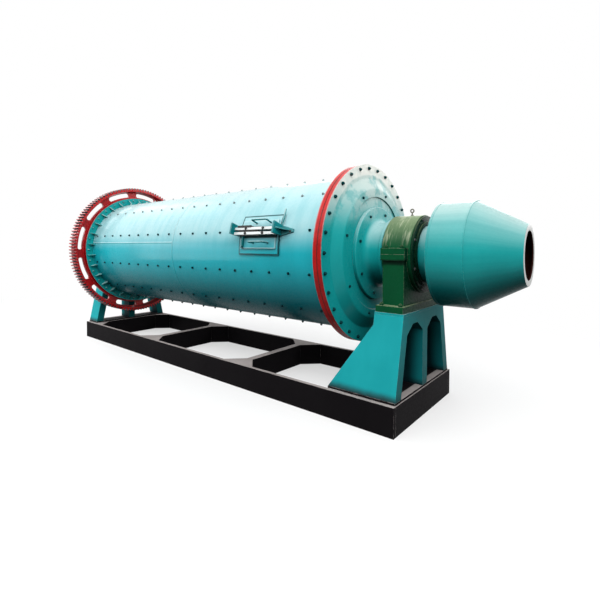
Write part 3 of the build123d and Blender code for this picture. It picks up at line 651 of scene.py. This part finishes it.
def rim_marks(s, base):
    """A pale dusty layer, partly a painted highlight, on the feed head's upper faces, and the
    joint between each flange and its head.

    The pale layer lies in patches and closes up on the outer ring. The joint is dark, between
    two pale edges of the painted rim, which are painted highlights."""
    x = s.part(s.point, 0)
    distance = s.distance()
    # A pale dusty layer on the upper faces of the feed head, partly a painted highlight.
    upper = s.ramp(s.part(s.point, 2), AXIS_Z + 0.20, AXIS_Z + 0.76)
    upper = s.times(upper, s.ramp(distance, *DUSTY_SHEEN_RING, 0.6, 0.97))
    upper = s.times(upper, s.ramp(x, FEED_FLANGE_LOW.x - 0.1, FEED_FLANGE_LOW.x), s.on_ends())
    patchy = s.ramp(s.noise(6.0, 5.0, 0.62), 0.42, 0.56, 0.35, 1.0)
    patchy = s.math("MAXIMUM", patchy, s.ramp(distance, *DUSTY_SHEEN_RING, 0.0, 0.9))
    base = s.mix(s.times(upper, patchy), base, HEAD_DUSTY_SHEEN)
    for joint in (FEED_HEAD_LOW.x, GEAR_FLANGE_LOW.x):
        near_joint = s.apart(x, joint)
        # Painted highlight on the pale edges of the rim beside the joint.
        edge = s.times(
            s.ramp(near_joint, 0.030, 0.042),
            s.ramp(near_joint, 0.050, 0.052, 1.0, 0.0),
            s.ramp(s.part(s.facing, 2), -0.1, 0.6, 0.0, 0.4),
            s.reaches(distance, RIM_RADIUS),
        )
        base = s.mix(edge, base, RIM_EDGE_HIGHLIGHT)
        base = s.mix(s.ramp(near_joint, 0.004, 0.006, 0.85, 0.0), base, JOINT_DARK)
    return base


def arch_marks(s, base):
    """Painted shade that deepens inside the arches of a stand, and on its end faces."""
    height = s.part(s.point, 2)
    widening = s.times(s.math("SUBTRACT", STAND_TOP_Z, height), STAND_SLOPE)
    half = s.math("ADD", STAND_TOP_HALF, widening)
    within = s.math("SUBTRACT", half, s.math("ABSOLUTE", s.part(s.point, 1)))
    within = s.ramp(within, STAND_LEG - 0.02, STAND_LEG - 0.005)
    depth = s.math("SUBTRACT", BASE_REACH, s.apart(s.part(s.point, 0), BASE_MID_X))
    below = s.ramp(height, STAND_TOP_Z - 0.09, STAND_TOP_Z - 0.11)
    ends = s.on_ends()
    dark = s.times(within, below, s.ramp(depth, 0.004, 0.15, 0.45, 0.97))
    dark = s.times(dark, s.math("SUBTRACT", 1.0, ends))
    shade = s.times(ends, s.ramp(height, STAND_TOP_Z, SOLE_LOW.z, 0.45, 0.85))
    base = s.mix(shade, base, STAND_SHADE)
    return s.mix(dark, base, ARCH_SHADE)


def nut_dusty_sheen(s, base):
    """Paler nuts along the upper half of the shell, dusty and partly a painted highlight."""
    upper = s.ramp(s.part(s.point, 2), AXIS_Z + 0.30, AXIS_Z + 0.74, 0.0, 0.7)
    return s.mix(upper, base, NUT_DUSTY_SHEEN)


def feeder_marks(s, base):
    """The bare front of the back plate, which shows through the mouth."""
    behind = s.ramp(s.part(s.point, 0), FEEDER_HIGH.x, FEEDER_HIGH.x - 0.02)
    front = s.ramp(s.part(s.facing, 0), 0.85, 0.95)
    return s.mix(s.times(behind, front), base, BARE_INSIDE)


def bearing_marks(s, base):
    """Pale drips down the caps, painted shadow under the split lugs and painted shade on the
    ends of a bearing.
    """
    # Painted shade on the ends that look along the mill.
    base = s.mix(s.on_ends(0.8), base, BEARING_SHADE)
    drips = s.ramp(s.noise(1.0, 4.0, 0.65, (34.0, 1.2, 0.0), s.rolled_out()), 0.5, 0.66)
    drips = s.times(drips, s.ramp(s.part(s.facing, 2), 0.1, 0.5, 0.0, 0.55))
    base = s.mix(drips, base, BEARING_DRIP)
    # Painted shadow under the split lugs.
    height = s.math("SUBTRACT", s.part(s.point, 2), s.times(s.noise(12.0, 3.0), 0.02))
    lug_underside = AXIS_Z - SPLIT_LUG_HEIGHT
    under = s.band(height, lug_underside - 0.050, lug_underside - 0.002, 0.012)
    side = s.math("ABSOLUTE", s.part(s.point, 1))
    outside = s.ramp(side, *LUG_SHADOW_SIDE)
    return s.mix(s.times(under, outside, 0.85), base, LUG_SHADOW)


def outer_strip(s):
    """A mask of the strip along the outer edge of the sole under a stand."""
    from_middle = s.apart(s.part(s.point, 0), BASE_MID_X)
    strip_from = BASE_REACH - OUTER_STRIP
    return s.ramp(from_middle, strip_from - 0.015, strip_from)


# Paint of the drum and of what is clamped to it
# The pale layer on top of these finishes is dusty and partly a painted highlight.
SHELL_FINISH = dict(
    dusty_sheen=(0.68, 0.75, 0.74),
    dusty_sheen_amount=0.5,
    dusty_sheen_facing=(-0.02, 0.36),
    grey_dusty_sheen_amount=0.35,
)
FLANGE_FINISH = dict(
    dusty_sheen_amount=0.5,
    dusty_sheen_facing=(0.1, 0.85),
    coat_roughness=0.22,
    worn=(0.72, 0.45, 0.43),
    worn_width=0.006,
    rim=(RIM_RADIUS, RED),
    marks=rim_marks,
)
drum_paint = enamel("drum_enamel", TEAL, TEAL_DEEP, **SHELL_FINISH)
frame_paint = enamel("manhole_frame_enamel", TEAL, TEAL_DEEP, marks=frame_marks, **SHELL_FINISH)
door_paint = enamel("manhole_door_enamel", TEAL, TEAL_DEEP, marks=door_marks, **SHELL_FINISH)
seam_paint = enamel(
    "seam_enamel",
    (0.03, 0.45, 0.51),
    (0.02, 0.34, 0.40),
    dusty_sheen_facing=(-0.1, 0.36),
)
lug_paint = enamel(
    "clamp_lug_enamel",
    (0.006, 0.230, 0.245),
    (0.004, 0.150, 0.165),
    dusty_sheen_facing=(0.15, 0.7),
)
# The clamp bars are pale all over, a painted highlight, and paler still on what faces up.
highlit_bar_paint = enamel(
    "clamp_bar_enamel",
    (0.55, 0.66, 0.66),
    (0.40, 0.54, 0.54),
    dusty_sheen=(0.84, 0.87, 0.87),
    dusty_sheen_amount=0.9,
    dusty_sheen_facing=(0.0, 0.2),
)
flange_paint = enamel("flange_enamel", FLANGE_TEAL, FLANGE_TEAL_DEEP, **FLANGE_FINISH)
trunnion_paint = enamel(
    "trunnion_enamel", FLANGE_TEAL, FLANGE_TEAL_DEEP, inside=BARE_INSIDE, **FLANGE_FINISH
)
cone_paint = enamel(
    "feeder_enamel",
    (0.012, 0.385, 0.385),
    (0.006, 0.255, 0.255),
    dusty_sheen=(0.72, 0.76, 0.73),
    dusty_sheen_amount=0.30,
    dusty_sheen_facing=(0.04, 0.9),
    grey_dusty_sheen_amount=0.35,
    coat_roughness=0.2,
    stretch=(0.6, 9.0, 0.0),
    inside=BARE_INSIDE,
    lip=(CONE_HIGH.x, (0.66, 0.68, 0.66)),
    marks=feeder_marks,
)
gear_coat = gear_paint("gear_enamel", (0.58, 0.012, 0.016), (0.022, 0.016, 0.020))

# Paint of the frame
stand_paint = enamel(
    "stand_enamel",
    (0.018, 0.410, 0.440),
    (0.008, 0.290, 0.320),
    dusty_sheen_facing=(0.5, 0.9),
    coat=0.02,
    roughness=0.35,
    stretch=(6.0, 6.0, 0.8),
    round_mill=False,
    foot=(0.276, 0.350, (0.022, 0.012, 0.012)),
    marks=arch_marks,
)
bearing_paint = enamel(
    "bearing_enamel",
    (0.004, 0.090, 0.033),
    (0.003, 0.048, 0.019),
    dusty_sheen=GREEN_DUSTY_SHEEN,
    dusty_sheen_amount=0.5,
    dusty_sheen_facing=(0.15, 1.0),
    worn=(0.45, 0.46, 0.34),
    worn_amount=0.55,
    worn_width=0.006,
    coat=0.04,
    marks=bearing_marks,
)
ring_paint = enamel(
    "bearing_ring_enamel",
    (0.003, 0.030, 0.014),
    (0.002, 0.018, 0.009),
    dusty_sheen=GREEN_DUSTY_SHEEN,
    dusty_sheen_amount=0.2,
    dusty_sheen_facing=(0.3, 1.0),
    worn_amount=0.1,
    specular=0.03,
    coat=0.05,
)
BASE_FINISH = dict(
    dusty_sheen=(0.40, 0.36, 0.35),
    dusty_sheen_amount=0.95,
    dusty_sheen_facing=(0.5, 0.95),
    worn=(0.42, 0.38, 0.37),
    worn_amount=0.8,
    worn_width=0.006,
    roughness=0.5,
    coat=0.0,
    stretch=(3.0, 3.0, 1.0),
    round_mill=False,
)
base_paint = enamel("base_enamel", BASE_BLACK, BASE_DEEP, **BASE_FINISH)
sole_paint = enamel("sole_enamel", BASE_BLACK, BASE_DEEP, keep_dusty_sheen=outer_strip, **BASE_FINISH)

# Paint of the nuts, and bare steel
NUT_FINISH = dict(worn_amount=0.0, specular=0.03, coat=0.0, roughness=0.45)
nut_paint = enamel(
    "nut_enamel",
    (0.004, 0.040, 0.048),
    (0.002, 0.022, 0.028),
    dusty_sheen_amount=0.0,
    marks=nut_dusty_sheen,
    **NUT_FINISH,
)
head_nut_paint = enamel(
    "head_nut_enamel",
    (0.004, 0.060, 0.066),
    (0.002, 0.034, 0.038),
    dusty_sheen_amount=0.0,
    **NUT_FINISH,
)
bearing_nut_paint = enamel(
    "bearing_nut_enamel",
    (0.003, 0.060, 0.024),
    (0.002, 0.034, 0.014),
    dusty_sheen=GREEN_DUSTY_SHEEN,
    dusty_sheen_amount=0.3,
    **NUT_FINISH,
)
dark_steel = worn_steel("dark_steel", (0.030, 0.028, 0.028), 0.45)
eye_steel = worn_steel("eye_steel", (0.20, 0.19, 0.16), 0.45)

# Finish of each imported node, by the start of its name
FINISHES = (
    ("base_", base_paint),
    ("stand_sole", sole_paint),
    ("stand_", stand_paint),
    ("bearing_eye", eye_steel),
    ("bearing_ring", ring_paint),
    ("bearing_", bearing_paint),
    ("ring_gear", gear_coat),
    ("shell_flange", flange_paint),
    ("head_", flange_paint),
    ("trunnion_", trunnion_paint),
    ("gear_flange_gussets", flange_paint),
    ("feeder_", cone_paint),
    ("discharge_spout", cone_paint),
    ("manhole_frame", frame_paint),
    ("manhole_door", door_paint),
    ("clamp_bar", highlit_bar_paint),
    ("clamp_", lug_paint),
    ("door_handle", lug_paint),
    ("", drum_paint),
)
for name, node in frame["nodes"].items():
    for prefix, material in FINISHES:
        if name.startswith(prefix):
            node.data.materials.clear()
            node.data.materials.append(material)
            break

# Liner bolts in rows along the shell, left out at the manhole
mesh = bmesh.new()
for row in range(LINER_ROWS):
    angle = LINER_ROW_ANGLE + 360 / LINER_ROWS * row
    for step in range(LINER_BOLTS):
        x = LINER_START_X + LINER_PITCH * step
        beside = MANHOLE_LOW.x - MANHOLE_CLEARANCE < x < MANHOLE_HIGH.x + MANHOLE_CLEARANCE
        if row == 0 and beside:
            continue
        bolt(mesh, on_round(x, SHELL_RADIUS, angle), LINER_BOLT, random.uniform(0, 1))
piece("liner_bolts", mesh, nut_paint, "drum")


# Bolts round the flanges, the heads and the feed trunnion
def bolt_circle(name, x, side, circle, size, stud=1.0, material=head_nut_paint):
    """Bolts in a circle on a face across the mill, which faces +X or -X."""
    radius, count, first = circle
    mesh = bmesh.new()
    for step in range(count):
        matrix = on_face(x, radius, first + 360 / count * step, side)
        bolt(mesh, matrix, size, random.uniform(0, 1), stud)
    piece(name, mesh, material, "drum")


feed_front = FEED_HEAD_LOW.x + HEAD_FLANGE
feed_back = FEED_FLANGE_LOW.x
gear_front = GEAR_FLANGE_HIGH.x
gear_back = GEAR_HEAD_HIGH.x - HEAD_FLANGE
bolt_circle("feed_flange_bolts_front", feed_front, 1, FEED_FLANGE_CIRCLE, FLANGE_BOLT)
bolt_circle("feed_flange_bolts_back", feed_back, -1, FEED_FLANGE_CIRCLE, FLANGE_BOLT)
bolt_circle(
    "gear_flange_bolts_front",
    gear_front,
    1,
    GEAR_FLANGE_CIRCLE,
    GEAR_FRONT_BOLT,
    material=flange_paint,
)
bolt_circle("gear_flange_bolts_back", gear_back, -1, GEAR_FLANGE_CIRCLE, FLANGE_BOLT)
bolt_circle("feed_head_bolts", FEED_HEAD_HIGH.x, 1, HEAD_CIRCLE, HEAD_BOLT, stud=0)
bolt_circle("gear_head_bolts", GEAR_HEAD_LOW.x, -1, HEAD_CIRCLE, HEAD_BOLT, stud=0)
bolt_circle("feed_trunnion_bolts", TRUNNION_DISC_X, 1, TRUNNION_CIRCLE, TRUNNION_BOLT, stud=0)

# Nuts on the split lugs and the soles of the bearings, and bolts on their end rings
for end, bearing, outward in (
    ("feed", "bearing_lower_feed", 1),
    ("gear", "bearing_lower_gear", -1),
):
    low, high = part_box(bearing)
    mid_x = (low.x + high.x) / 2
    lug_top = AXIS_Z + SPLIT_LUG_HEIGHT
    sole_top = low.z + BEARING_SOLE_THICKNESS
    mesh = bmesh.new()
    for side in (-1, 1):
        for step in (-1, 1):
            on_lug = on_top(mid_x + step * LUG_NUT_X, side * LUG_NUT_Y, lug_top)
            on_sole = on_top(mid_x + step * SOLE_NUT_X, side * SOLE_NUT_Y, sole_top)
            bolt(mesh, on_lug, BEARING_NUT, 0.3)
            bolt(mesh, on_sole, BEARING_NUT, 0.1)
    piece(f"bearing_nuts_{end}", mesh, bearing_nut_paint, "frame")
    mesh = bmesh.new()
    ring_face = high.x + END_RING_THICKNESS if outward > 0 else low.x - END_RING_THICKNESS
    for step in range(RING_BOLTS):
        angle = 360 / RING_BOLTS * (step + 0.5)
        matrix = on_face(ring_face, RING_BOLT_RADIUS, angle, outward)
        bolt(mesh, matrix, RING_BOLT, 0.2 * step, 0)
    piece(f"bearing_ring_bolts_{end}", mesh, dark_steel, "frame")

# Nuts on the clamp bars over their screws, and the bolt in the foot of the feed-side lug
mesh = bmesh.new()
for low, high in (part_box("clamp_screws_upper"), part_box("clamp_screws_lower")):
    angle = angle_of((low + high) / 2)
    for x in (low.x + CLAMP_NUT_INSET, high.x - CLAMP_NUT_INSET):
        on_bar = on_round(x, SHELL_RADIUS + BAR_LIFT + BAR_HEIGHT, angle)
        bolt(mesh, on_bar, CLAMP_NUT, 0.2)
piece("clamp_nuts", mesh, dark_steel, "drum")
mesh = bmesh.new()
foot_x = CLAMP_LUG_HIGH.x - FOOT_BOLT_INSET
on_foot = on_round(foot_x, SHELL_RADIUS + CLAMP_FOOT_THICKNESS, FOOT_BOLT_ANGLE)
bolt(mesh, on_foot, FOOT_BOLT, 0.1)
piece("clamp_foot_bolt", mesh, dark_steel, "drum")

# Dark strips along the clamp bars, a painted shadow in the gaps, from their gear-side end:
# x and y reach, and top
bars_middle = (BAR_LOW + BAR_HIGH + LOWER_BAR_LOW + LOWER_BAR_HIGH) / 4
bars_edge = (BAR_STEP + BAR_WIDTH) / 2
gap_half = (BAR_STEP - BAR_WIDTH) / 2
SHADOW_STRIPS = (
    ((0.045, 0.235), (bars_edge, bars_edge + 0.020), 0.040),
    ((0.060, 0.330), (-gap_half, gap_half), 0.030),
    ((0.090, 0.345), (-bars_edge - 0.010, -bars_edge), 0.026),
)
mesh = bmesh.new()
matrix = on_round(BAR_LOW.x, SHELL_RADIUS + BAR_LIFT, angle_of(bars_middle))
for (from_x, to_x), (from_y, to_y), top in SHADOW_STRIPS:
    block(mesh, matrix, (from_x, from_y, -0.004), (to_x, to_y, top))
piece("clamp_packing", mesh, dark_steel, "drum")

# Strap that stands on the door under the gear-side end of the bars
mesh = bmesh.new()
on_door = on_round(DOOR_LOW.x + STRAP_INSET, SHELL_RADIUS + DOOR_LIFT, STRAP_ANGLE)
block(mesh, on_door, STRAP_LOW, STRAP_HIGH)
piece("door_strap", mesh, lug_paint, "drum")

# Grip round the clamp lever
lever_turn = math.radians(LEVER_TURN)
lever_way = Vector((0, math.sin(lever_turn), math.cos(lever_turn)))
lever_foot = (LEVER_LOW + LEVER_HIGH) / 2 - lever_way * LEVER_HALF
lever_end = 2 * LEVER_HALF
grip = [(0.0055, 0.028), (0.0085, 0.031), (0.0085, lever_end), (0.006, lever_end + 0.004)]
mesh = bmesh.new()
lathe(mesh, basis(lever_foot, lever_way, (1, 0, 0)), grip, 16)
piece("clamp_lever_grip", mesh, lug_paint, "drum")


# Weld seams of the shell and the feeder
def round_seam(name, x, radius, material, width=SEAM_WIDTH, rise=SEAM_RISE):
    """A weld bead round the mill, whose section is (radius, place across the bead)."""
    section = []
    for step in range(SEAM_STEPS + 1):
        turn = math.pi * step / SEAM_STEPS
        section.append((radius + rise * math.sin(turn), -width / 2 * math.cos(turn)))
    section.append((radius - SEAM_ROOT, width / 2))
    section.append((radius - SEAM_ROOT, -width / 2))
    mesh = bmesh.new()
    ring_piece(mesh, basis((x, 0, AXIS_Z), (1, 0, 0), (0, 0, 1)), section, 160)
    piece(name, mesh, material, "drum", 60)


def long_seam(name, start_x, end_x, angle):
    """A weld bead along the shell."""
    section = []
    for step in range(SEAM_STEPS + 1):
        turn = math.pi * step / SEAM_STEPS
        section.append((SEAM_WIDTH / 2 * math.cos(turn), SEAM_RISE * math.sin(turn)))
    section.append((-SEAM_WIDTH / 2, -SEAM_ROOT))
    section.append((SEAM_WIDTH / 2, -SEAM_ROOT))
    mesh = bmesh.new()
    ends = []
    for x in (start_x, end_x):
        matrix = on_round(x, SHELL_RADIUS, angle)
        ends.append([mesh.verts.new(matrix @ Vector((0, y, z))) for y, z in section])
    first, last = ends
    count = len(section)
    for index in range(count):
        following = (index + 1) % count
        mesh.faces.new((first[index], first[following], last[following], last[index]))
    mesh.faces.new(first)
    mesh.faces.new(last)
    piece(name, mesh, seam_paint, "drum", 60)


FEEDER_BEAD = (FEEDER_RADIUS, cone_paint, FEEDER_SEAM_WIDTH, FEEDER_SEAM_RISE)
round_seam("shell_seam_round", SEAM_X, SHELL_RADIUS, seam_paint)
round_seam("feeder_seam_back", FEEDER_LOW.x, *FEEDER_BEAD)
round_seam("feeder_seam_front", FEEDER_HIGH.x, *FEEDER_BEAD)
long_seam("shell_seam_long_gear", GEAR_FLANGE_HIGH.x, SEAM_X, SEAM_ANGLE)
long_seam("shell_seam_long_feed", SEAM_X, FEED_FLANGE_LOW.x, SEAM_ANGLE + 180)

# Camera at the photograph's place and angle
CAMERA_PLACE = Vector((3.872, -3.634, 1.565))
CAMERA_YAW = -0.6968
CAMERA_PITCH = -0.0252
CAMERA_ROLL = -0.003
CAMERA_LENS = 23.73
CAMERA_SHIFT = (0.0156, -0.0733)
forward = Vector(
    (
        math.sin(CAMERA_YAW) * math.cos(CAMERA_PITCH),
        math.cos(CAMERA_YAW) * math.cos(CAMERA_PITCH),
        math.sin(CAMERA_PITCH),
    )
)
level_right = Vector((math.cos(CAMERA_YAW), -math.sin(CAMERA_YAW), 0))
level_down = forward.cross(level_right)
right = level_right * math.cos(CAMERA_ROLL) + level_down * math.sin(CAMERA_ROLL)
down = level_down * math.cos(CAMERA_ROLL) - level_right * math.sin(CAMERA_ROLL)
camera_data = bpy.data.cameras.new("camera")
camera_data.sensor_width = 36
camera_data.lens = CAMERA_LENS
camera_data.shift_x, camera_data.shift_y = CAMERA_SHIFT
camera = bpy.data.objects.new("camera", camera_data)
camera.matrix_world = Matrix((right, -down, -forward)).transposed().to_4x4()
camera.matrix_world.translation = CAMERA_PLACE
bpy.context.scene.collection.objects.link(camera)
bpy.context.scene.camera = camera


# Background, floor and lamps
def seen_directly(tree):
    """1 for camera, glossy and transmission rays, and 0 for the light on the object."""
    path = tree.nodes.new("ShaderNodeLightPath")
    total = path.outputs["Is Camera Ray"]
    for name in ("Is Glossy Ray", "Is Transmission Ray"):
        largest = tree.nodes.new("ShaderNodeMath")
        largest.operation = "MAXIMUM"
        tree.links.new(total, largest.inputs[0])
        tree.links.new(path.outputs[name], largest.inputs[1])
        total = largest.outputs[0]
    return total


HORIZON_LIGHT = 0.14
ZENITH_LIGHT = 0.5
world = bpy.data.worlds.new("studio")
bpy.context.scene.world = world
world.use_nodes = True
tree = world.node_tree
background = tree.nodes["Background"]
background.inputs["Color"].default_value = (1, 1, 1, 1)
direction = tree.nodes.new("ShaderNodeTexCoord")
height = tree.nodes.new("ShaderNodeSeparateXYZ")
tree.links.new(direction.outputs["Generated"], height.inputs[0])
sky = tree.nodes.new("ShaderNodeMapRange")
sky.inputs[3].default_value = HORIZON_LIGHT
sky.inputs[4].default_value = ZENITH_LIGHT
tree.links.new(height.outputs[2], sky.inputs[0])
strength = tree.nodes.new("ShaderNodeMapRange")
tree.links.new(seen_directly(tree), strength.inputs[0])
tree.links.new(sky.outputs[0], strength.inputs[3])
strength.inputs[4].default_value = 1.0
tree.links.new(strength.outputs[0], background.inputs["Strength"])

FLOOR_HALF = 60
FLOOR_STRETCH = (0.55, 1, 0)
FLOOR_FADE = (2.4, 5.2)
FLOOR_GLOW = 0.55
FLOOR_PALE = (0.86, 0.86, 0.86)
FLOOR_LIT = (0.055, 0.055, 0.055)
floor_mesh = bmesh.new()
bmesh.ops.create_grid(floor_mesh, x_segments=1, y_segments=1, size=FLOOR_HALF)
floor_data = bpy.data.meshes.new("floor")
floor_mesh.to_mesh(floor_data)
floor_mesh.free()
floor = bpy.data.objects.new("floor", floor_data)
bpy.context.scene.collection.objects.link(floor)
s = Shader("floor_pale")
seen = seen_directly(s.tree)
s.set(Base_Color=s.mix(seen, FLOOR_LIT, FLOOR_PALE), Roughness=0.9, Specular_IOR_Level=0.1)
away = s.vector("LENGTH", s.vector("MULTIPLY", s.point, FLOOR_STRETCH))
glow = s.node("ShaderNodeEmission")
blend = s.node("ShaderNodeMixShader")
s.link(s.times(seen, s.ramp(away, *FLOOR_FADE, FLOOR_GLOW, 1.0)), blend.inputs[0])
s.link(s.surface.outputs["BSDF"], blend.inputs[1])
s.link(glow.outputs[0], blend.inputs[2])
s.link(blend.outputs[0], s.output.inputs["Surface"])
floor_data.materials.append(s.material)


def softbox(name, place, target, width, height, radiance):
    """A large area lamp with a given brightness as seen from the object."""
    data = bpy.data.lights.new(name, "AREA")
    data.shape = "RECTANGLE"
    data.size = width
    data.size_y = height
    data.energy = radiance * math.pi * width * height
    lamp = bpy.data.objects.new(name, data)
    direction = Vector(target) - Vector(place)
    lamp.rotation_euler = direction.to_track_quat("-Z", "Y").to_euler()
    lamp.location = place
    lamp.visible_camera = False
    bpy.context.scene.collection.objects.link(lamp)


softbox("overhead", (0, -1.0, 6.5), (0, -0.5, 1.4), 11, 7, 0.4)
softbox("near_side", (1.0, -6.5, 7.0), (0, 0, 1.3), 14, 7, 2.1)
softbox("feed_end", (6.8, -2.0, 6.6), (1.9, -0.4, 1.4), 8, 6, 2.1)
softbox("gear_end", (-9.0, -2.5, 5.8), (0, 0, 1.5), 10, 7, 2.5)
softbox("gear_fill", (-5.0, -4.4, 1.3), (-1.6, 0, 1.3), 3, 2, 4.0)
softbox("behind_feed", (6.0, 7.2, 3.6), (1.9, 0, 1.6), 5.5, 3, 3.2)
softbox("far_side", (-2.0, 8.5, 5.5), (0, 0, 1.4), 9, 4, 2.5)

bpy.context.scene.view_settings.view_transform = "Standard"
